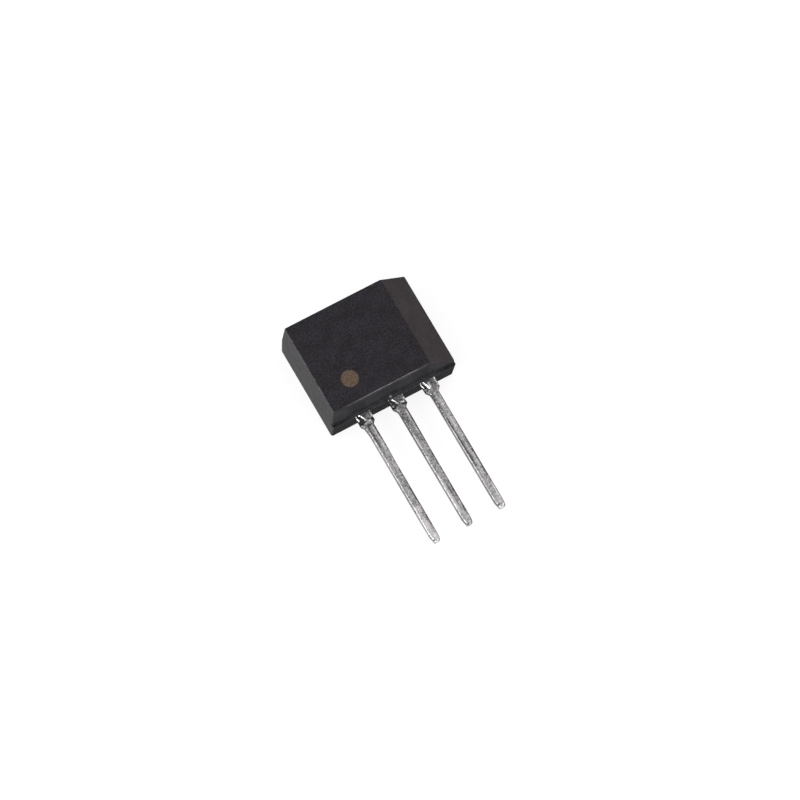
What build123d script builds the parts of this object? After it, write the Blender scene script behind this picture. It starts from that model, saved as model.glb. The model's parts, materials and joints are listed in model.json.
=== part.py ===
from build123d import *
import os

# Three-lead triac in a transfer-moulded plastic package without a mounting tab (TO-202 style).
# Millimetres. The part lies on its back: origin at the centre of the back face, +Z out of the
# front face, leads along -Y with the middle one on X = 0. The wide bevel runs along the +X side.

os.makedirs("parts", exist_ok=True)

# Moulded body. Width and height are those at the parting plane, where the body is widest.
body_width = 9.65
body_height = 7.28
bevel_across = 2.02  # bevel along the +X side, measured on the front face
bevel_depth = 2.23
bevel_land = 0.21  # upright wall left between the bevel and the parting plane
side_draft = 1.0  # degrees, left and right walls
end_draft = 2.5  # degrees, top wall and lead-side wall
lead_ledge = 0.2  # the back half stands out by this much on the lead side
ledge_cover = 0.05  # the parting plane lies this far in front of the leads
corner_radius = 0.15  # upright corners
edge_radius = 0.1  # rims of the front and back faces
ejector_diameter = 1.5  # round witness marks of the ejector pins, on the back
ejector_depth = 0.05
ejector_spacing = 5.0

# Leadframe, stamped from one strip: three leads, two bonding posts and the chip's pad.
frame_thickness = 0.51
lead_standoff = 1.5  # back face of the body to the back of the leadframe
lead_pitch = 2.54
lead_width = 0.6
lead_reach = 10.25  # ledge to tip
shoulder_width = 1.04  # wide root of each lead, where the dam bar was cut away
shoulder_reach = 0.72
shoulder_taper = 0.26
shear_drop = 0.3  # slope that the shear leaves down one side of the shoulder
shear_near_width = 0.18  # across the slope, at the body
shear_far_width = 0.44  # across the slope, at the shoulder's end
tip_width = 0.38
tip_length = 0.5
lead_edge_radius = 0.12
inner_wall = 1.0  # plastic between the leadframe's inner plates and the body's walls
post_height = 1.4
post_gap = 0.5  # chip pad to bonding posts
plate_corner_radius = 0.2
lock_notch_radius = 0.4  # half-round notches in the pad's sides that lock it in the plastic
anchor_hole_diameter = 0.6  # holes in the posts, filled by the plastic
anchor_hole_inset = 0.5  # hole centre to the post's outer and lower edges

# Chip and its connections.
chip_side = 1.9
chip_thickness = 0.25
solder_thickness = 0.05
solder_margin = 0.1  # solder shows this far past the chip on each side
a1_wire_diameter = 0.25
gate_wire_diameter = 0.15
a1_loop_height = 0.7  # centre of the wire above the chip, at the top of its loop
gate_loop_height = 0.5
a1_bond_offset = (-0.35, -0.1)  # bond positions on the chip, from its centre
gate_bond_offset = (0.6, -0.6)

# Proportions of a wedge bond and of the wire's loop, in wire diameters.
foot_length = 2.4
foot_width = 1.5
foot_height = 0.7
foot_corner = 0.35
wire_lift = 0.6  # centre of the round wire above the surface that it is bonded to
loop_rise = 4.0  # the wire climbs from the chip to the top of its loop over this length
loop_bend = 1.6  # centre-line radius of the wire's bends

frame_front = lead_standoff + frame_thickness
parting_plane = frame_front + ledge_cover
front_half_depth = bevel_land + bevel_depth
lead_exit = -body_height / 2
post_bottom = lead_exit + lead_ledge + inner_wall
post_top = post_bottom + post_height
post_middle = (post_bottom + post_top) / 2
pad_bottom = post_top + post_gap
pad_top = body_height / 2 - inner_wall
plate_side = body_width / 2 - inner_wall
chip_y = (pad_bottom + pad_top) / 2
chip_bottom = frame_front + solder_thickness
chip_top = chip_bottom + chip_thickness


def mould_half(height, centre_y, depth, direction):
    """A block that narrows on all four sides from the parting plane, up (1) or down (-1)."""
    seat = Align.MIN if direction > 0 else Align.MAX
    block = Pos(0, centre_y, parting_plane) * Box(
        body_width, height, depth, align=(Align.CENTER, Align.CENTER, seat)
    )
    neutral = Plane((0, 0, parting_plane), z_dir=(0, 0, direction))
    block = draft(block.faces().filter_by(Axis.X), neutral, side_draft)
    ends = block.faces().sort_by(Axis.Y)
    return draft(ShapeList([ends[0], ends[-1]]), neutral, end_draft)


def upright_edges(block):
    """All edges apart from those that lie level."""
    return block.edges() - block.edges().filter_by(Plane.XY)


def front_half():
    height = body_height - lead_ledge
    block = mould_half(height, lead_ledge / 2, front_half_depth, 1)
    front = block.faces().sort_by(Axis.Z)[-1]
    right_edge = front.edges().sort_by(Axis.X)[-1]
    block = chamfer(right_edge, bevel_across, bevel_depth, reference=front)
    block = fillet(upright_edges(block), corner_radius)
    return fillet(block.faces().sort_by(Axis.Z)[-1].edges(), edge_radius)


def back_half():
    block = mould_half(body_height, 0, parting_plane, -1)
    block = fillet(upright_edges(block), corner_radius)
    block = fillet(block.faces().sort_by(Axis.Z)[0].edges(), edge_radius)
    mark = Cylinder(
        ejector_diameter / 2, ejector_depth, align=(Align.CENTER, Align.CENTER, Align.MIN)
    )
    for spot in GridLocations(ejector_spacing, 0, 2, 1):
        block -= spot * mark
    return block


def plate(outline):
    """A flat piece of the leadframe, as thick as the strip."""
    return extrude(Plane.XY.offset(lead_standoff) * outline, frame_thickness)


def shear_profile(width, distance):
    """The triangle that the shear takes off the left front edge, at this distance from the body."""
    side = -shoulder_width / 2
    corner = Polyline(
        (side, frame_front), (side + width, frame_front), (side, frame_front - shear_drop), close=True
    )
    return Plane.XZ.offset(distance - lead_exit) * make_face(corner)


def outer_lead(x):
    """A lead from inside the body's wall to its tip, with the shoulder left by the dam bar."""
    shoulder_end = lead_exit - shoulder_reach
    tip = lead_exit - lead_reach
    right = [
        (shoulder_width / 2, post_bottom),
        (shoulder_width / 2, shoulder_end),
        (lead_width / 2, shoulder_end - shoulder_taper),
        (lead_width / 2, tip + tip_length),
        (tip_width / 2, tip),
    ]
    left = [(-half, y) for half, y in reversed(right)]
    blank = plate(make_face(Polyline(*right, *left, close=True)))
    faces = blank.faces().sort_by(Axis.Z)
    rims = faces[0].edges() + faces[-1].edges()
    root = rims.group_by(Axis.Y)[-1]
    blank = fillet(rims - root, lead_edge_radius)
    near = shear_profile(shear_near_width, 0)
    far = shear_profile(shear_far_width, shoulder_reach)
    return Pos(x, 0, 0) * (blank - loft([near, far]))


def post_lead(side):
    """An outer lead whose inner end widens, away from the middle, to the post for a wire."""
    x = side * lead_pitch
    inner = x - side * shoulder_width / 2
    outer = side * plate_side
    width = abs(outer - inner)
    post = RectangleRounded(width, post_height, plate_corner_radius)
    hole = Pos(outer - side * anchor_hole_inset, post_bottom + anchor_hole_inset)
    outline = Pos((inner + outer) / 2, post_middle) * post - hole * Circle(anchor_hole_diameter / 2)
    return outer_lead(x) + plate(outline)


def header_lead():
    """The middle lead and the chip's pad in one piece."""
    width = 2 * plate_side
    pad = Pos(0, chip_y) * RectangleRounded(width, pad_top - pad_bottom, plate_corner_radius)
    neck_height = chip_y - post_bottom
    neck = Pos(0, post_bottom + neck_height / 2) * Rectangle(shoulder_width, neck_height)
    outline = pad + neck
    for spot in GridLocations(width, 0, 2, 1):
        outline -= Pos(0, chip_y) * spot * Circle(lock_notch_radius)
    return outer_lead(0) + plate(outline)


def square_slab(side, bottom, thickness):
    """The chip or its solder, on the middle of the pad."""
    seat = (Align.CENTER, Align.CENTER, Align.MIN)
    return Pos(0, chip_y, bottom) * Box(side, side, thickness, align=seat)


def bond_wire(bond_offset, side, diameter, loop_height):
    """A wire from the chip to a post, looping in an upright plane, with wedge-bonded feet."""
    start = Vector(bond_offset[0], chip_y + bond_offset[1])
    run = Vector(side * lead_pitch, post_middle) - start
    span = run.length
    lift = wire_lift * diameter
    half_foot = foot_length * diameter / 2
    climb = half_foot + loop_rise * diameter
    path = FilletPolyline(
        (0, 0, chip_top + lift),
        (half_foot, 0, chip_top + lift),
        (climb, 0, chip_top + loop_height),
        (span - half_foot, 0, frame_front + lift),
        (span, 0, frame_front + lift),
        radius=loop_bend * diameter,
    )
    wire = sweep(Plane(path @ 0, z_dir=path % 0) * Circle(diameter / 2), path)
    foot = RectangleRounded(2 * half_foot, foot_width * diameter, foot_corner * diameter)
    foot = extrude(foot, foot_height * diameter)
    wire += Pos(0, 0, chip_top) * foot + Pos(span, 0, frame_front) * foot
    return Plane(start, x_dir=run, z_dir=(0, 0, 1)).location * wire


pieces = {
    "lead_a1": post_lead(-1),
    "lead_a2_pad": header_lead(),
    "lead_gate": post_lead(1),
    "chip_solder": square_slab(chip_side + 2 * solder_margin, frame_front, solder_thickness),
    "triac_chip": square_slab(chip_side, chip_bottom, chip_thickness),
    "a1_bond_wire": bond_wire(a1_bond_offset, -1, a1_wire_diameter, a1_loop_height),
    "gate_bond_wire": bond_wire(gate_bond_offset, 1, gate_wire_diameter, gate_loop_height),
}

# The plastic flows round everything inside it, so the body is the mould's shape less the rest.
body = front_half() + back_half()
for piece in pieces.values():
    body -= piece
pieces["moulded_body"] = body

for name, piece in pieces.items():
    export_step(piece, f"parts/{name}.step")
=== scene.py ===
import json
import math

import bpy
import numpy as np
from mathutils import Matrix, Vector, noise


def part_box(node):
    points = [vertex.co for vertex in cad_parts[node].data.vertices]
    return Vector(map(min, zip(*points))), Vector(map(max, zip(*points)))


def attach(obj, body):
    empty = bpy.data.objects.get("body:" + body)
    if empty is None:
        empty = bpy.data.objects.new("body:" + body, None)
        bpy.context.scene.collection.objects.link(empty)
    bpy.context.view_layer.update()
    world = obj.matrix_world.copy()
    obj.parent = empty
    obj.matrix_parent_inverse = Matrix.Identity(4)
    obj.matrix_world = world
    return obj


MM = 0.001

# Colours of the tin and of the moulding, some of them painted light and shade.
TIN_DARK = (0.03, 0.03, 0.031)
TIN_BRIGHT = (0.722, 0.709, 0.724)
MOULDING_DARK = (0.0037, 0.0034, 0.0046)
MOULDING_PALE = (0.0305, 0.0279, 0.0340)
# The next colour paints the highlights along the front's rims. It is also the pale wear of the ledge's
# scar.
MOULDING_WEAR_AND_HIGHLIGHT = (0.24, 0.24, 0.245)
# The next colour is both the stains on the lead side and the painted shade on its lower part.
MOULDING_STAIN_AND_SHADE = (0.006, 0.006, 0.007)
# The bevel's painted warm light.
BEVEL_PAINTED_WARM_LIGHT = (0.046, 0.032, 0.033)
# The left wall's painted light.
LEFT_WALL_PAINTED_LIGHT = (0.068, 0.067, 0.065)
LEDGE_PALE_MIDDLE = (0.046, 0.045, 0.048)
DOT_DARK = (0.075, 0.052, 0.034)
DOT_PALE = (0.155, 0.112, 0.074)

# Places on the moulding, in millimetres in the row frame. A tuple holds the two levels between
# which a mark fades in or out.
# Where the painted rim highlights are brightest, along x.
RIM_HIGHLIGHT_MIDDLE = -0.6
FRONT_RIM = (4.12, 4.35)
FRONT_FACE = (4.3, 4.45)
LEDGE_LEVEL = 2.06  # where the two halves meet
LEDGE_MIDDLE = -3.52
SHADED_BELOW = (1.95, 2.04)
DULL_BELOW = (1.9, 2.0)
SCAR_X, SCAR_Y = -0.27, -3.46
DOT_X, DOT_Y = -2.6, -1.7
DOT_RADIUS = 0.6
DOT_EDGE = 0.06
DOT_LINE_PITCH = 0.09

NOISE_RANGE = (0.3, 0.7)  # most of a noise texture's values lie in this range

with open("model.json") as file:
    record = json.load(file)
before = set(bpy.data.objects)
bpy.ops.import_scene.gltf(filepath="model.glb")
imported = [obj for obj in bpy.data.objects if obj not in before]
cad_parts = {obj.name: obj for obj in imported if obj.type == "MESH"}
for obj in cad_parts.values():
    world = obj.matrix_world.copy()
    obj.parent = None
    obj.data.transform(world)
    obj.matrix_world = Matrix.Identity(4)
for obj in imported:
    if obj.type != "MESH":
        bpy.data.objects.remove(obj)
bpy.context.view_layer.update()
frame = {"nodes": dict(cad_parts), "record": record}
record = frame["record"]
body_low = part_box("moulded_body")[0]


def put_in_scene(name, data):
    made = bpy.data.objects.new(name, data)
    bpy.context.scene.collection.objects.link(made)
    return made


# ---------------------------------------------------------------- node helpers


class Shader:
    """The nodes of a material or world. Their inputs take numbers, colours or nodes' outputs."""

    def __init__(self, owner):
        owner.use_nodes = True
        self.owner = owner
        self.tree = owner.node_tree
        self.tree.nodes.clear()

    def node(self, kind, settings=None, **inputs):
        made = self.tree.nodes.new(kind)
        for key, value in (settings or {}).items():
            setattr(made, key, value)
        for key, value in inputs.items():
            self.feed(made.inputs[key.replace("_", " ")], value)
        return made

    def feed(self, socket, value):
        if isinstance(value, bpy.types.NodeSocket):
            self.tree.links.new(value, socket)
        elif socket.type == "RGBA" and len(value) == 3:
            socket.default_value = (*value, 1)
        else:
            socket.default_value = value

    def math(self, operation, *values):
        made = self.node("ShaderNodeMath", {"operation": operation})
        for socket, value in zip(made.inputs, values):
            self.feed(socket, value)
        return made.outputs[0]

    def product(self, first, *others):
        for other in others:
            first = self.math("MULTIPLY", first, other)
        return first

    def sum(self, first, *others):
        for other in others:
            first = self.math("ADD", first, other)
        return first

    def away(self, value, middle, full, none):
        """1 within a distance of the middle, fading to 0 at a greater one."""
        distance = self.math("ABSOLUTE", self.math("SUBTRACT", value, middle))
        return self.ramp(distance, full, none, 1.0, 0.0)

    def position(self):
        """Object coordinates in millimetres."""
        metres = self.node("ShaderNodeTexCoord").outputs["Object"]
        scale = {"operation": "SCALE"}
        return self.node("ShaderNodeVectorMath", scale, Vector=metres, Scale=1 / MM).outputs[0]

    def split(self, vector):
        return self.node("ShaderNodeSeparateXYZ", Vector=vector).outputs

    def stretched(self, vector, scale):
        return self.node("ShaderNodeMapping", Vector=vector, Scale=scale).outputs[0]

    def noise(self, vector, scale, detail=2.0, roughness=0.5):
        inputs = {"Vector": vector, "Scale": scale, "Detail": detail, "Roughness": roughness}
        return self.node("ShaderNodeTexNoise", **inputs).outputs["Fac"]

    def normal(self):
        """The surface's direction, as its x, y and z."""
        return self.split(self.node("ShaderNodeNewGeometry").outputs["Normal"])

    def ramp(self, value, low, high, start=0.0, end=1.0):
        """Maps low..high to start..end, held at both ends, with a smooth step between."""
        made = self.node(
            "ShaderNodeMapRange",
            {"interpolation_type": "SMOOTHSTEP"},
            Value=value,
            From_Min=low,
            From_Max=high,
            To_Min=start,
            To_Max=end,
        )
        return made.outputs[0]

    def mix(self, factor, first, second):
        """A blend of two colours. A mix node has its colours in inputs 6 and 7 and output 2."""
        made = self.node("ShaderNodeMix", {"data_type": "RGBA"})
        for place, value in ((0, factor), (6, first), (7, second)):
            self.feed(made.inputs[place], value)
        return made.outputs[2]

    def bump(self, height, distance, strength=1.0):
        made = self.node("ShaderNodeBump", Height=height, Distance=distance, Strength=strength)
        return made.outputs[0]

    def finish(self, **inputs):
        """Ends a material in one Principled shader."""
        shader = self.node("ShaderNodeBsdfPrincipled", **inputs)
        self.node("ShaderNodeOutputMaterial", Surface=shader.outputs[0])
        return self.owner


def new_shader(name):
    return Shader(bpy.data.materials.new(name))


# ---------------------------------------------------------------- materials


def rim_highlights(s, at, normal, lead_side):
    """Painted highlights along the rims of the front: most along the lead side, less along the left,
    with a painted brightening of the lead-side wall just under the front rim.
    """
    x, _, z = s.split(at)
    highlight_breakup = s.noise(s.stretched(at, (1.8, 6.0, 6.0)), 1.0, 3.0, 0.6)
    low_rim = s.ramp(s.product(normal[1], normal[2], -2.0), 0.45, 0.95)
    lit_under_rim = s.product(lead_side, s.ramp(z, *FRONT_RIM), 0.16)
    lit_rim_mask = s.math("MAXIMUM", s.product(low_rim, 0.75), lit_under_rim)
    middle = s.ramp(s.away(x, RIM_HIGHLIGHT_MIDDLE, 1.6, 3.7), 0.0, 1.0, 0.16, 1.0)
    lit_low_rim = s.product(lit_rim_mask, s.ramp(highlight_breakup, 0.36, 0.62, 0.35, 1.0), middle)
    left_rim = s.ramp(s.product(normal[0], normal[2], -2.0), 0.35, 0.95)
    lit_left_rim = s.product(left_rim, s.ramp(highlight_breakup, *NOISE_RANGE, 0.05, 0.4))
    return s.math("MAXIMUM", lit_low_rim, lit_left_rim)


def ledge_marks(s, at):
    """A paler band along the middle of the ledge, and one small scar on it."""
    x, y, z = s.split(at)
    ledge = s.product(s.away(z, LEDGE_LEVEL, 0.03, 0.16), s.away(y, LEDGE_MIDDLE, 0.13, 0.2))
    patchy = s.ramp(s.noise(at, 3.4, 3.0, 0.6), 0.32, 0.62, 0.3, 1.0)
    pale_middle = s.product(ledge, s.away(x, 0.0, 3.2, 4.1), patchy)
    scar_place = s.product(s.away(x, SCAR_X, 0.04, 0.12), s.away(y, SCAR_Y, 0.06, 0.14))
    return pale_middle, s.product(scar_place, s.away(z, LEDGE_LEVEL, 0.1, 0.2))


def index_dot(s, at):
    """Where the index dot is burnt into the front face, in fine lines with a ragged edge."""
    x, y, z = s.split(at)
    across, along = s.math("SUBTRACT", x, DOT_X), s.math("SUBTRACT", y, DOT_Y)
    from_dot = s.math("SQRT", s.sum(s.product(across, across), s.product(along, along)))
    ragged = s.sum(from_dot, s.product(s.noise(at, 12.0, 2.0), 0.05))
    lines = s.ramp(s.math("SINE", s.product(y, 2 * math.pi / DOT_LINE_PITCH)), -0.7, 0.4, 0.62, 1.0)
    round_spot = s.ramp(ragged, DOT_RADIUS, DOT_RADIUS + DOT_EDGE, 1.0, 0.0)
    return s.product(round_spot, s.ramp(z, *FRONT_FACE), lines)


def moulding_compound():
    """Matt black epoxy: grained, with painted highlights along two rims, painted warm light on the
    bevel, painted light on the left wall, painted shade low on the lead side, stains, a paler ledge, a
    scar and an index dot.
    """
    s = new_shader("moulding_compound")
    at = s.position()
    z = s.split(at)[2]
    normal = s.normal()
    left_side = s.ramp(normal[0], -0.9, -0.7, 1.0, 0.0)
    lead_side = s.ramp(normal[1], -0.9, -0.6, 1.0, 0.0)
    bevel = s.product(s.ramp(normal[0], 0.25, 0.45), s.ramp(normal[2], 0.25, 0.45))

    grain = s.noise(at, 8.0, 3.0, 0.7)
    cloud = s.noise(at, 1.1, 3.0, 0.55)
    tone = s.ramp(s.sum(s.product(grain, 0.8), s.product(cloud, 0.2)), 0.34, 0.66)
    colour = s.mix(tone, MOULDING_DARK, MOULDING_PALE)
    # Painted warm light on the bevel, which faces the warm right-hand lamp.
    colour = s.mix(s.product(bevel, s.ramp(cloud, *NOISE_RANGE, 0.2, 0.36)), colour, BEVEL_PAINTED_WARM_LIGHT)
    # Painted light on the left wall, in patches.
    blotch = s.ramp(s.noise(at, 3.5, 3.0, 0.6), *NOISE_RANGE, 0.14, 0.4)
    colour = s.mix(s.product(left_side, blotch), colour, LEFT_WALL_PAINTED_LIGHT)
    # Painted highlights along the front's rims.
    colour = s.mix(rim_highlights(s, at, normal, lead_side), colour, MOULDING_WEAR_AND_HIGHLIGHT)

    # Stains on the lead side wall, and painted shade over its lower part, below the ledge.
    stains = s.ramp(s.noise(s.stretched(at, (2.2, 4.0, 4.0)), 1.0, 3.0, 0.6), 0.36, 0.64)
    stained_and_shaded = s.math("MAXIMUM", s.product(stains, 0.8), s.ramp(z, *SHADED_BELOW, 0.9, 0.0))
    colour = s.mix(s.product(lead_side, stained_and_shaded), colour, MOULDING_STAIN_AND_SHADE)
    pale_middle, scar = ledge_marks(s, at)
    # Paler along the middle of the ledge.
    colour = s.mix(pale_middle, colour, LEDGE_PALE_MIDDLE)
    colour = s.mix(scar, colour, MOULDING_WEAR_AND_HIGHLIGHT)
    burnt = index_dot(s, at)
    colour = s.mix(burnt, colour, s.mix(s.ramp(grain, 0.35, 0.65), DOT_DARK, DOT_PALE))

    height = s.sum(grain, s.product(s.noise(at, 12.0, 2.0), 0.4), s.product(burnt, -0.8))
    bumped = s.bump(height, 0.014 * MM, 0.9)
    under_ledge = s.product(lead_side, s.ramp(z, *DULL_BELOW, 0.93, 0.0))
    rough = s.math("MAXIMUM", s.ramp(grain, *NOISE_RANGE, 0.62, 0.78), under_ledge)
    return s.finish(Base_Color=colour, Roughness=rough, Normal=bumped, Specular_IOR_Level=0.15)


def tinned_copper():
    """Dipped tin. The tone attribute sets how bright it is: painted highlights, painted reflections and
    painted shade along each lead.
    """
    s = new_shader("tinned_copper")
    at = s.position()
    tone = s.node("ShaderNodeAttribute", {"attribute_name": "tone"}).outputs["Fac"]
    streaks = s.noise(s.stretched(at, (9.0, 1.6, 9.0)), 1.0, 4.0, 0.62)
    spots = s.noise(at, 7.5, 3.0, 0.6)
    smooth = {"feature": "SMOOTH_F1"}
    cells = s.node("ShaderNodeTexVoronoi", smooth, Vector=at, Scale=12.0, Smoothness=0.4)
    crystals = s.split(cells.outputs["Color"])[0]
    parts = (s.product(streaks, 0.3), s.product(spots, 0.36), s.product(crystals, 0.28))
    mottle = s.sum(*parts, -0.47)  # half of its parts' weights, so that it is about 0 on average
    # The mottle is fainter on the sides, and where the tone paints shade.
    mottled = s.product(s.ramp(s.normal()[2], 0.2, 0.7, 0.45, 1.0), s.ramp(tone, 0.0, 0.3, 0.25, 1.0))
    bright = s.sum(tone, s.product(mottle, mottled))
    colour = s.mix(s.ramp(bright, 0.0, 1.0), TIN_DARK, TIN_BRIGHT)
    bumped = s.bump(spots, 0.012 * MM, 0.7)
    dull, fresh = s.ramp(bright, 0.05, 0.3, 0.75, 0.32), s.ramp(bright, 0.1, 0.9, 0.34, 0.2)
    rough = s.math("MAXIMUM", dull, fresh)
    return s.finish(Base_Color=colour, Metallic=1.0, Roughness=rough, Normal=bumped)


def leadframe_copper():
    """The stamped strip under the tin, uncoated where the plastic covers it."""
    s = new_shader("leadframe_copper")
    at = s.position()
    rolled = s.noise(s.stretched(at, (14.0, 1.2, 14.0)), 1.0, 3.0, 0.6)
    colour = s.mix(s.ramp(rolled, *NOISE_RANGE), (0.30, 0.30, 0.30), (0.42, 0.415, 0.41))
    bumped = s.bump(rolled, 0.006 * MM)
    return s.finish(Base_Color=colour, Metallic=1.0, Roughness=0.36, Normal=bumped)


def grey_silicon():
    """The chip: polished silicon with a faint cloud."""
    s = new_shader("grey_silicon")
    cloud = s.noise(s.position(), 1.5, 3.0)
    colour = s.mix(s.ramp(cloud, *NOISE_RANGE), (0.09, 0.09, 0.11), (0.13, 0.13, 0.155))
    rough = s.ramp(cloud, *NOISE_RANGE, 0.12, 0.2)
    return s.finish(Base_Color=colour, Metallic=0.6, Roughness=rough)


def soft_solder():
    """Frozen solder with a fine crystalline bloom."""
    s = new_shader("soft_solder")
    at = s.position()
    crystals = s.node("ShaderNodeTexVoronoi", Vector=at, Scale=5.0).outputs["Distance"]
    colour = s.mix(s.ramp(crystals, 0.0, 0.9), (0.42, 0.42, 0.43), (0.6, 0.6, 0.6))
    bumped = s.bump(crystals, 0.01 * MM)
    return s.finish(Base_Color=colour, Metallic=1.0, Roughness=0.42, Normal=bumped)


def bond_aluminium():
    """Drawn aluminium wire, with the faint lines of its die."""
    s = new_shader("bond_aluminium")
    lines = s.noise(s.stretched(s.position(), (20.0, 20.0, 60.0)), 1.0, 2.0)
    colour = s.mix(lines, (0.7, 0.7, 0.71), (0.82, 0.82, 0.83))
    bumped = s.bump(lines, 0.004 * MM)
    return s.finish(Base_Color=colour, Metallic=1.0, Roughness=0.35, Normal=bumped)


def dress(node, material):
    mesh = frame["nodes"][node].data
    mesh.materials.clear()
    mesh.materials.append(material)


dress("moulded_body", moulding_compound())
copper = leadframe_copper()
for lead in ("lead_a1", "lead_a2_pad", "lead_gate"):
    dress(lead, copper)
dress("chip_solder", soft_solder())
dress("triac_chip", grey_silicon())
aluminium = bond_aluminium()
for wire in ("a1_bond_wire", "gate_bond_wire"):
    dress(wire, aluminium)


# ---------------------------------------------------------------- tin on the leads
#
# Each lead's tin is a thin skin, lofted along the lead through closed sections. Its measures are
# in millimetres: x across the lead from its middle, reach from the body along the lead, z as in
# the row frame. The next lines repeat the CAD lead's sizes, and give the skin's own.

COAT = 0.014  # from the copper to the tin
CROWN = 0.02  # extra tin along the middle of the front
SHOULDER_HALF = 0.52
SHOULDER_REACH = 0.72
SHOULDER_TAPER = 0.26
SHEAR_DROP = 0.3
SHEAR_NEAR, SHEAR_FAR = 0.18, 0.44  # the slope's width at the body and at the shoulder's end
SHEAR_START, SHEAR_END = 0.01, 0.05  # clear of the slope's two ends
LEAD_HALF = 0.3
EDGE_RADIUS = 0.12
TIP_HALF = 0.19
TIP_LENGTH = 0.5
FIN_LEAN, FIN_DEPTH = 0.07, 0.08  # how far the fin's outer side leans out, and reaches down
LIP_SLOPE = 0.04  # from the lip's crest to the flat of the shoulder
LIP_WIDTH = ((0.0, 0.10), (0.14, 0.09))  # from the groove's bank to the lip's crest, by reach
SWELL = ((0.67, 0.0), (1.4, 1.0))  # how far the front's left edge has its thicker tin, by reach
# Corners of that edge: x from the corner's centre, as a share of the radius and then in
# millimetres, and z as a share of the radius, without the swell and what the swell adds.
SWOLLEN_EDGE = ((-0.4, 0.0, 0.92, 0.04), (0.0, 0.04, 1.0, 0.1), (0.0, 0.09, 1.0, 0.15))

SPANS = (3, 4, 4, 5, 3, 13, 3, 3, 7, 3, 3, 10, 3, 3, 5)  # facets from each of a section's corners
TORN = sum(SPANS[:5])  # points of a section over the sheared slope

# Tones of a section's corners, in the corners' order. They paint light and shade across the lead: a
# lighter band along the front's left edge, and painted shade along its right edge. On a shoulder, the
# fin, groove and lip have theirs from the lead's tables.
# The shoulder's painted light and shade: shade under the fin, a mid tone on the plate, and a share of
# the lip's highlight on the bank.
UNDER_FIN_TONE, PLATE_TONE = -0.1, 0.45
BANK_TONE = 0.15  # as a share of the lip's tone
RIGHT_TONES = (0.44, 0.52, 0.40, 0.38, 0.40, 0.42, 0.42, 0.38, 0.30)
SHAFT_TONES = (0.30, 0.26, 0.39, 0.45, 0.46, 0.46, 0.32, 0.12, 0.38, 0.38, 0.40, 0.42, 0.42, 0.38, 0.30)
TONE_FADE = 0.15  # the shoulder's tones give way to the shaft's over this reach

# Where the rings of points stand along a lead: inside the body, at the shoulder, shaft and tip.
SKIN_START, SHAFT_START, TIP_ZONE = -0.06, 1.3, 0.7
FINE_STEP, COARSE_STEP = 0.02, 0.04
# The rings that round off a tip: size as a share of the tip's ring, and reach beyond it.
CAPS = ((0.93, 0.018), (0.75, 0.03), (0.45, 0.036))
CAP_TONE = 0.1

# The unevenness of dipped tin.
LIFT = 0.004
LUMP_RELIEF, LUMP_TONE, LUMPS_ACROSS, LUMPS_ALONG = 0.006, 0.08, 4, 1.1
GRAIN_RELIEF, GRAINS_ACROSS, GRAINS_ALONG = 0.003, 9, 6
DULLEST, BRIGHTEST = -0.4, 1


def between(table, reach):
    """Value at this reach in a table of (reach, value) rows."""
    reaches, values = zip(*table)
    return float(np.interp(reach, reaches, values))


def lead_half_width(reach, tip):
    """Half the width of the copper at this reach."""
    rows = (
        (SHOULDER_REACH, SHOULDER_HALF),
        (SHOULDER_REACH + SHOULDER_TAPER, LEAD_HALF),
        (tip - TIP_LENGTH, LEAD_HALF),
        (tip, TIP_HALF),
    )
    return between(rows, reach)


def strip_top(x, reach, front):
    """Level of the copper under the tin of a shoulder, with its sheared slope on the left."""
    share = min(max(reach / SHOULDER_REACH, 0), 1)
    slope_width = SHEAR_NEAR + share * (SHEAR_FAR - SHEAR_NEAR)
    down = (slope_width - SHOULDER_HALF - x) / slope_width
    return front - SHEAR_DROP * min(max(down, 0), 1)


def sheared_corners(lead, reach, front):
    """Left corners where the strip was sheared: under the fin, fin, groove, bank, lip and plate."""
    lip, fin = between(lead["lip"], reach), between(lead["fin"], reach)
    bank = lip - between(LIP_WIDTH, reach)
    groove = (fin + bank) / 2
    fin_top = strip_top(fin, reach, front) + COAT + between(lead["fin_rise"], reach)
    return [
        (min(fin - FIN_LEAN, -SHOULDER_HALF - COAT), fin_top - FIN_DEPTH),
        (fin, fin_top),
        (groove, strip_top(groove, reach, front) + COAT),
        (bank, strip_top(bank, reach, front) + COAT),
        (lip, front + COAT + between(lead["lip_rise"], reach)),
        (lip + LIP_SLOPE, front + COAT),
    ]


def section(lead, reach, tip, back, front):
    """The 15 corners of the skin's section, clockwise from the left side."""
    half = lead_half_width(reach, tip)
    radius = EDGE_RADIUS + COAT
    diagonal = radius * math.sqrt(0.5)
    left = EDGE_RADIUS - half - between(lead["left"], reach)
    right = half - EDGE_RADIUS + between(lead["right"], reach)
    low, high = back + EDGE_RADIUS, front - EDGE_RADIUS
    if reach < SHOULDER_REACH - SHEAR_END:
        left_side = sheared_corners(lead, reach, front)
    else:
        swell = between(SWELL, reach)
        left_side = [
            (left - radius, (low + 2 * high) / 3),
            (left - radius, high),
            (left - diagonal, high + diagonal),
        ]
        for share, shift, level, rise in SWOLLEN_EDGE:
            left_side.append((left + share * radius + shift, high + (level + rise * swell) * radius))
    return left_side + [
        (right, high + radius),
        (right + diagonal, high + diagonal),
        (right + radius, high),
        (right + radius, low),
        (right + diagonal, low - diagonal),
        (right, low - radius),
        (left, low - radius),
        (left - diagonal, low - diagonal),
        (left - radius, low),
    ]


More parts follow.
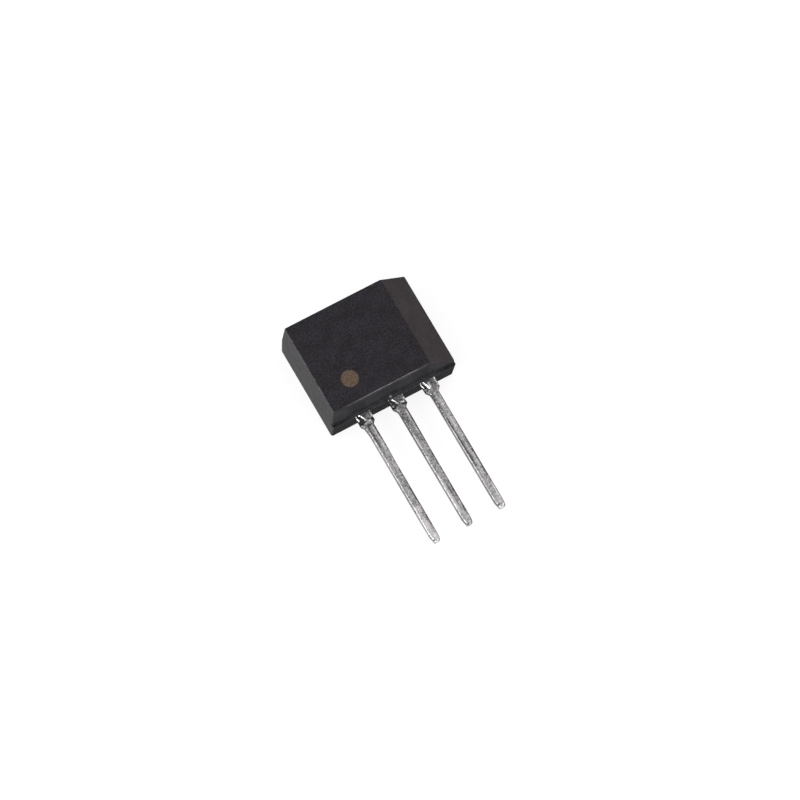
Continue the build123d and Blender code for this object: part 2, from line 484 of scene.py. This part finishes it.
def corner_tones(lead, reach):
    """The tones of a section's corners, which paint light and shade across the lead."""
    parts = ("fin_tone", "groove_tone", "lip_tone")
    fin, groove, lip = (between(lead[part], reach) for part in parts)
    shoulder = (UNDER_FIN_TONE, fin, groove, BANK_TONE * lip, lip, PLATE_TONE) + RIGHT_TONES
    share = min(max((reach - SHOULDER_REACH) / TONE_FADE + 1, 0), 1)
    return [a + share * (b - a) for a, b in zip(shoulder, SHAFT_TONES)]


def divided(corners):
    """The closed run through the corners, with SPANS facets from each to the next."""
    points = []
    for here, there, count in zip(corners, corners[1:] + corners[:1], SPANS):
        for step in range(count):
            share = step / count
            points.append([a + share * (b - a) for a, b in zip(here, there)])
    return points


def blurred(values, rounds, axis, closed):
    """Values averaged with their neighbours, so many times, along one axis."""
    for _ in range(rounds):
        before, after = np.roll(values, 1, axis), np.roll(values, -1, axis)
        if not closed:
            before[0], after[-1] = values[0], values[-1]
        values = 0.25 * before + 0.5 * values + 0.25 * after
    return values


def from_stroke(points, x, reach):
    """Distance of a point from a stroke's run of points."""
    nearest = math.inf
    for (x0, r0), (x1, r1) in zip(points, points[1:]):
        run_x, run_r = x1 - x0, r1 - r0
        along = ((x - x0) * run_x + (reach - r0) * run_r) / (run_x**2 + run_r**2)
        along = min(max(along, 0.0), 1.0)
        nearest = min(nearest, math.hypot(x - x0 - along * run_x, reach - r0 - along * run_r))
    return nearest


def marked(lead, x, reach, facing):
    """Relief and tone that the lead's marks add at a point of its front; the tone paints highlights and
    shade.
    """
    relief, tone = 0.0, 0.0
    for points, width, height, shade in lead["marks"]:
        weight = facing * math.exp(-((from_stroke(points, x, reach) / width) ** 2))
        relief += weight * height
        tone += weight * shade
    return relief, tone


def ring_reaches(tip):
    """Where the rings stand: closer together at the shoulder and at the tip."""
    tip_zone = tip - TIP_ZONE
    shoulder = np.arange(SKIN_START, SHAFT_START, FINE_STEP)
    shaft = np.arange(SHAFT_START, tip_zone, COARSE_STEP)
    return np.concatenate([shoulder, shaft, np.arange(tip_zone, tip, FINE_STEP), [tip]])


def skin_rings(lead, reaches, tip, back, front):
    """The rings' (x, z) points, smoothed, but held above the copper of the sheared slope."""
    rings = np.array([divided(section(lead, reach, tip, back, front)) for reach in reaches])
    rings = blurred(blurred(rings, 2, 0, False), 1, 1, True)
    for ring, reach in zip(rings, reaches):
        if reach < SHOULDER_REACH - SHEAR_END:
            for point in ring[:TORN]:
                copper_top = strip_top(point[0], reach, front) if reach > SHEAR_START else front
                point[1] = max(point[1], copper_top + COAT)
    return rings


def surface_normals(points):
    """The skin's outward direction at each of its points."""
    normals = np.cross(np.gradient(points, axis=0), np.roll(points, -1, 1) - np.roll(points, 1, 1))
    return normals / np.linalg.norm(normals, axis=2)[:, :, None]


def roughen(lead, reaches, points, tones):
    """Gives the skin its marks, crown, lumps and grain, and adds the painted light and shade of the
    marks and the gain to its tones.
    """
    normals, seed = surface_normals(points), lead["seed"]
    for i, reach in enumerate(reaches):
        gain = between(lead["gain"], reach)
        for j, (x, y, z) in enumerate(points[i]):
            facing = max(normals[i, j, 2], 0.0)
            relief, tone = marked(lead, x, reach, facing)
            crown = CROWN * facing * max(1 - (x / LEAD_HALF) ** 2, 0)
            lumps = Vector((LUMPS_ACROSS * x + seed, LUMPS_ALONG * y, LUMPS_ACROSS * z))
            grains = Vector((GRAINS_ACROSS * x, GRAINS_ALONG * y + seed, GRAINS_ACROSS * z))
            lump, grain = noise.noise(lumps), noise.noise(grains)
            height = relief + crown + LUMP_RELIEF * lump + GRAIN_RELIEF * grain + LIFT
            points[i, j] += normals[i, j] * height
            # The marks and the gain add painted highlights, reflections and shade.
            tones[i, j] += tone + gain + LUMP_TONE * lump


def capped(points, tones):
    """The rings with a few smaller ones past the tip, which round it off."""
    tip_ring, centre = points[-1], points[-1].mean(0)
    caps = []
    for share, step in CAPS:
        ring = centre + (tip_ring - centre) * share
        ring[:, 1] -= step
        caps.append(ring)
    cap_tones = np.repeat(tones[-1:] + CAP_TONE, len(caps), 0)
    return np.concatenate([points, np.array(caps)]), np.concatenate([tones, cap_tones])


def tin_skin(name, lead, material):
    """The tin of one lead."""
    low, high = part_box(lead["node"])
    back, front, tip = low.z / MM, high.z / MM, (body_low.y - low.y) / MM
    reaches = ring_reaches(tip)
    rings = skin_rings(lead, reaches, tip, back, front)
    tones = np.array([divided([(tone,) for tone in corner_tones(lead, reach)]) for reach in reaches])
    tones = blurred(tones[:, :, 0], 1, 1, True)
    along = np.broadcast_to(-reaches[:, None], rings.shape[:2])
    points = np.dstack([rings[:, :, 0], along, rings[:, :, 1]])
    roughen(lead, reaches, points, tones)
    points, tones = capped(points, tones)
    place = points * MM + np.array([lead["middle"], body_low.y, 0])
    lofted(name, place, np.clip(tones, DULLEST, BRIGHTEST), material)


def lofted(name, rings, tones, material):
    """A closed piece through rings of points, with a tone at each."""
    rows, columns = tones.shape
    faces = []
    for here in range(0, (rows - 1) * columns, columns):
        there = here + columns
        for j in range(columns):
            k = (j + 1) % columns
            faces.append((here + j, there + j, there + k, here + k))
    faces.append(tuple(range(columns)))
    faces.append(tuple(reversed(range((rows - 1) * columns, rows * columns))))
    mesh = bpy.data.meshes.new(name)
    mesh.from_pydata(rings.reshape(-1, 3).tolist(), [], faces)
    attribute = mesh.attributes.new("tone", "FLOAT", "POINT")
    attribute.data.foreach_set("value", tones.reshape(-1).astype(np.float32))
    mesh.polygons.foreach_set("use_smooth", [True] * len(mesh.polygons))
    mesh.materials.append(material)
    piece = put_in_scene(name, mesh)
    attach(piece, "root")


def root_of(lead_name):
    """Where the middle of a lead is along x, in metres, from the mount at its root."""
    mounts = {mount["name"]: mount for mount in record["mounts"]}
    return mounts[lead_name + "_root"]["pos_m"][0]


# What differs from lead to lead, most of it as rows of a reach and a value there. The shear left
# a fin along the shoulder's left edge and a lip to its right, with a groove between them: fin and
# lip are their crests' x, _rise their height and _tone how bright they are, which paints highlights
# on the fin and lip and shade in the groove. left and right widen the tin beyond the copper, and gain
# brightens the whole lead, a painted light that grows towards the tip. A mark is a stroke through
# some (x, reach) points, with a width, a height and a change of tone: a painted highlight, glint or
# reflection where it brightens, painted shade or a painted dark edge where it darkens. The seed
# makes each lead's unevenness its own.
LEADS = {
    "tin_a1": {
        "node": "lead_a1",
        "middle": root_of("lead_a1"),
        "seed": 3.1,
        "lip": (
            (-0.06, -0.36), (0.05, -0.24), (0.15, -0.15), (0.35, -0.07), (0.5, -0.05), (0.67, -0.10),
        ),
        "lip_rise": ((-0.06, 0.05), (0.1, 0.08), (0.5, 0.03), (0.58, 0.0)),
        "lip_tone": ((0.48, 1.0), (0.56, 0.4)),
        "groove_tone": ((0.38, -0.6), (0.50, 0.03)),
        "fin": ((-0.06, -0.52), (0.1, -0.49), (0.38, -0.42), (0.48, -0.44)),
        "fin_rise": ((-0.06, 0.17), (0.1, 0.16), (0.36, 0.07), (0.45, 0.0)),
        "fin_tone": ((0.0, 0.95), (0.34, 0.8), (0.42, 0.1)),
        "left": ((0.7, 0.0), (0.98, 0.06), (1.35, 0.02), (1.6, 0.0)),
        "right": (
            (0.0, 0.06), (0.38, 0.06), (0.46, 0.02), (0.72, 0.03), (0.8, 0.0), (1.1, 0.05),
            (2.6, 0.05), (4.0, 0.01), (9.75, 0.0), (10.1, 0.05), (10.25, 0.02),
        ),
        # gain: painted light along the lead, brightest at the tip
        "gain": (
            (0.0, -0.06), (1.6, -0.02), (2.4, 0.06), (4.4, 0.06), (6.0, 0.0), (8.0, 0.06),
            (10.25, 0.22),
        ),
        # marks: painted highlights, glints and reflections, and painted shade and dark edges
        "marks": (
            (((0.17, 0.57), (0.19, 0.64)), 0.06, 0.04, 0.65),
            (((-0.17, 0.69), (-0.14, 0.71)), 0.05, 0.02, 0.45),
            (((-0.10, 0.87), (0.02, 0.93), (0.15, 0.90)), 0.035, -0.015, -0.25),
            (((-0.42, 0.44), (-0.40, 0.66)), 0.08, 0.0, -0.22),
            (((-0.33, 0.95), (-0.27, 1.16), (-0.26, 1.7)), 0.05, 0.0, -0.12),
            (((-0.13, 0.98), (-0.12, 2.7)), 0.05, -0.008, -0.34),
            (((-0.08, 2.9), (-0.06, 5.4)), 0.06, -0.004, -0.10),
            (((0.13, 1.0), (0.13, 2.9)), 0.05, 0.008, 0.16),
            (((-0.14, 7.6), (-0.10, 9.9)), 0.10, 0.004, 0.16),
            (((0.22, 6.0), (0.22, 9.6)), 0.05, 0.0, -0.11),
            (((-0.31, 9.65), (-0.23, 10.05), (-0.16, 10.15)), 0.05, 0.0, -0.65),
            (((0.40, 0.62), (0.50, 0.66)), 0.07, 0.02, -0.55),
            (((0.52, 0.0), (0.50, 0.34)), 0.05, 0.03, 0.95),
        ),
    },
    "tin_a2": {
        "node": "lead_a2_pad",
        "middle": root_of("lead_a2"),
        "seed": 7.7,
        "lip": (
            (-0.06, -0.34), (0.08, -0.27), (0.2, -0.18), (0.35, -0.11), (0.5, -0.07), (0.67, -0.08),
        ),
        "lip_rise": ((-0.06, 0.0), (0.04, 0.0), (0.12, 0.07), (0.48, 0.03), (0.56, 0.0)),
        "lip_tone": ((0.04, 0.4), (0.12, 1.0), (0.48, 1.0), (0.56, 0.4)),
        "groove_tone": ((0.10, 0.02), (0.34, 0.06), (0.46, 0.16)),
        "fin": ((-0.06, -0.50), (0.38, -0.46), (0.48, -0.46)),
        "fin_rise": ((-0.06, 0.12), (0.08, 0.08), (0.16, 0.02), (0.45, 0.0)),
        "fin_tone": ((0.0, 0.45), (0.08, 0.4), (0.14, 0.3), (0.5, 0.3)),
        "left": ((0.7, 0.0), (0.98, 0.03), (1.3, 0.0)),
        "right": (
            (0.0, 0.05), (0.36, 0.05), (0.46, 0.02), (0.70, 0.05), (0.78, 0.0), (1.1, 0.05),
            (2.6, 0.04), (4.0, 0.01), (9.75, 0.0), (10.1, 0.04), (10.25, 0.0),
        ),
        # gain: painted light along the lead, brightest at the tip
        "gain": ((0.0, -0.05), (2.5, -0.07), (6.0, 0.0), (10.25, 0.10)),
        # marks: painted highlights and reflections, and painted shade and dark edges
        "marks": (
            (((0.25, 0.46), (0.30, 0.51)), 0.06, 0.05, 0.85),
            (((0.20, 0.65), (0.36, 0.68), (0.55, 0.68)), 0.04, -0.006, -0.55),
            (((-0.50, 0.62), (-0.42, 0.74)), 0.06, 0.0, -0.40),
            (((-0.40, 0.80), (-0.30, 0.95)), 0.04, 0.01, 0.15),
            (((-0.25, 1.1), (-0.25, 2.4)), 0.09, 0.0, -0.16),
            (((0.13, 1.2), (0.15, 2.9)), 0.08, 0.004, 0.16),
            (((-0.17, 3.0), (-0.18, 5.0)), 0.07, 0.004, 0.14),
            (((-0.17, 6.4), (-0.15, 9.2)), 0.07, 0.004, 0.24),
            (((-0.02, 7.1), (-0.02, 8.8)), 0.04, -0.008, -0.22),
            (((0.20, 5.8), (0.20, 9.4)), 0.05, 0.0, -0.13),
            (((-0.34, 9.0), (-0.33, 9.6), (-0.22, 10.15), (-0.10, 10.24)), 0.05, 0.0, -0.4),
            (((0.52, 0.0), (0.50, 0.30)), 0.05, 0.03, 1.0),
        ),
    },
    "tin_gate": {
        "node": "lead_gate",
        "middle": root_of("lead_gate"),
        "seed": 11.3,
        "lip": (
            (-0.06, -0.36), (0.0, -0.34), (0.15, -0.27), (0.35, -0.18), (0.55, -0.12), (0.67, -0.10),
        ),
        "lip_rise": ((-0.06, 0.03), (0.1, 0.05), (0.5, 0.05), (0.62, 0.0)),
        "lip_tone": ((0.55, 1.0), (0.62, 0.4)),
        "groove_tone": ((0.38, -0.6), (0.50, 0.12)),
        "fin": ((-0.06, -0.55), (0.1, -0.52), (0.36, -0.45), (0.46, -0.46)),
        "fin_rise": ((-0.06, 0.18), (0.1, 0.16), (0.34, 0.08), (0.42, 0.0)),
        "fin_tone": ((0.0, 1.0), (0.32, 0.95), (0.42, 0.3)),
        "left": ((0.7, 0.0), (0.98, 0.02), (1.3, 0.0)),
        "right": (
            (0.0, 0.06), (0.7, 0.05), (0.98, 0.03), (5.0, 0.03), (7.0, 0.02), (9.75, 0.02),
            (10.1, 0.08), (10.25, 0.05),
        ),
        # gain: painted light along the lead, brightest at the tip
        "gain": ((0.0, -0.03), (2.0, 0.03), (4.0, 0.03), (6.0, 0.0), (8.5, 0.04), (10.25, 0.16)),
        # marks: painted highlights, glints and reflections, and painted shade and dark edges
        "marks": (
            (((-0.07, 0.14), (-0.07, 0.32), (-0.09, 0.50)), 0.045, 0.035, 0.65),
            (((-0.56, 0.45), (-0.54, 0.75)), 0.06, 0.0, -0.40),
            (((0.22, 0.0), (0.22, 0.45)), 0.22, 0.0, -0.14),
            (((-0.42, 0.80), (-0.30, 0.97)), 0.05, 0.01, 0.0),
            (((0.50, 0.0), (0.52, 0.05)), 0.06, 0.03, 0.95),
            (((0.49, 0.12), (0.49, 0.42)), 0.05, 0.01, 0.14),
            (((-0.31, 1.1), (-0.31, 3.0)), 0.06, 0.0, -0.40),
            (((-0.27, 3.4), (-0.26, 9.4)), 0.04, 0.008, 0.06),
            (((-0.20, 1.0), (-0.20, 3.3)), 0.06, 0.0, -0.20),
            (((-0.18, 3.3), (-0.16, 5.2), (-0.13, 6.9)), 0.05, -0.010, -0.32),
            (((0.04, 1.6), (0.05, 7.6)), 0.08, 0.004, 0.10),
            (((0.22, 5.8), (0.21, 7.8)), 0.05, 0.0, -0.12),
            (((-0.36, 8.0), (-0.34, 9.6), (-0.22, 10.08)), 0.065, 0.0, -0.7),
            (((-0.14, 10.02), (0.08, 10.05)), 0.03, -0.01, -0.35),
            (((0.08, 10.14), (0.18, 10.10)), 0.05, 0.02, 0.5),
            (((0.19, 8.4), (0.19, 9.4)), 0.05, 0.0, 0.20),
        ),
    },
}
tin = tinned_copper()
for name, lead in LEADS.items():
    tin_skin(name, lead, tin)


# ---------------------------------------------------------------- studio

CAMERA_PLACE = Vector((-0.0626284, -0.0767370, 0.2816131))
CAMERA_RIGHT = Vector((0.8670066, -0.4938662, 0.0662997))
CAMERA_UP = Vector((0.4507304, 0.8340030, 0.3182469))
SENSOR = 36.0
FOCAL_PIXELS, PICTURE_PIXELS = 4343.175, 800
LENS = FOCAL_PIXELS / PICTURE_PIXELS * SENSOR
NEAREST, FARTHEST = 0.01, 10  # what the camera sees, in metres

FLOOR_HALF = 0.6
FLOOR_GAP = 0.005 * MM
FLOOR_TONE = 0.82
FLOOR_SHADOW = 0.26  # how much of the light on the floor shows, beside its glow
FLOOR_GLOW = 0.8
BACKDROP_LIGHT = 1.0
WORLD_LIGHT = 0.7

# Name, direction from the body, distance, size, power and colour.
LIGHTS = (
    ("left_low", (-1.0, -0.15, 0.2), 0.5, 0.2, 1.5, (1.0, 1.0, 1.0)),
    ("left_panel", (-1.0, 0.0, 0.7), 0.5, 0.4, 0.9, (1.0, 1.0, 1.0)),
    ("right_fill", (1.0, 0.1, 0.6), 0.6, 0.8, 1.9, (1.0, 0.92, 0.88)),
    ("front_fill", (0.1, -1.0, 0.3), 0.5, 0.3, 1.0, (0.96, 1.0, 1.0)),
)


def add_camera():
    """The photo's camera, as the fit of the photo found it."""
    data = bpy.data.cameras.new("camera")
    data.sensor_width = SENSOR
    data.lens = LENS
    data.clip_start = NEAREST
    data.clip_end = FARTHEST
    camera = put_in_scene("camera", data)
    back = CAMERA_RIGHT.cross(CAMERA_UP)
    axes = Matrix((CAMERA_RIGHT, CAMERA_UP, back)).transposed().to_4x4()
    camera.matrix_world = Matrix.Translation(CAMERA_PLACE) @ axes
    bpy.context.scene.camera = camera


def add_light(name, direction, distance, size, power, colour):
    """A square soft light, facing the body."""
    data = bpy.data.lights.new(name, "AREA")
    data.shape = "SQUARE"
    data.size = size
    data.energy = power
    data.color = colour
    light = put_in_scene(name, data)
    towards = Vector(direction).normalized()
    light.location = towards * distance
    light.rotation_euler = towards.to_track_quat("Z", "Y").to_euler()


def for_background(s, other, background):
    """One value for the rays that show the background, and another for all other rays."""
    path = s.node("ShaderNodeLightPath").outputs
    seen = s.math("MAXIMUM", path["Is Camera Ray"], path["Is Glossy Ray"])
    seen = s.math("MAXIMUM", seen, path["Is Transmission Ray"])
    return s.node("ShaderNodeMapRange", Value=seen, To_Min=other, To_Max=background).outputs[0]


def add_floor():
    """White paper, which glows for the camera so that it is as white as the photo's."""
    half = FLOOR_HALF
    mesh = bpy.data.meshes.new("floor")
    corners = [(-half, -half, 0), (half, -half, 0), (half, half, 0), (-half, half, 0)]
    mesh.from_pydata(corners, [], [(0, 1, 2, 3)])
    floor = put_in_scene("floor", mesh)
    floor.location.z = body_low.z - FLOOR_GAP
    s = new_shader("white_floor")
    paper = s.node("ShaderNodeBsdfDiffuse", Color=for_background(s, FLOOR_TONE, FLOOR_SHADOW))
    glow = s.node("ShaderNodeEmission", Strength=for_background(s, 0.0, FLOOR_GLOW))
    both = s.node("ShaderNodeAddShader")
    for socket, part in zip(both.inputs, (paper, glow)):
        s.feed(socket, part.outputs[0])
    s.node("ShaderNodeOutputMaterial", Surface=both.outputs[0])
    mesh.materials.append(s.owner)


def set_world():
    """An even white surround."""
    world = bpy.data.worlds.new("studio")
    bpy.context.scene.world = world
    s = Shader(world)
    strength = for_background(s, WORLD_LIGHT, BACKDROP_LIGHT)
    backdrop = s.node("ShaderNodeBackground", Strength=strength)
    s.node("ShaderNodeOutputWorld", Surface=backdrop.outputs[0])


add_camera()
add_floor()
set_world()
for light in LIGHTS:
    add_light(*light)
bpy.context.scene.view_settings.view_transform = "Standard"
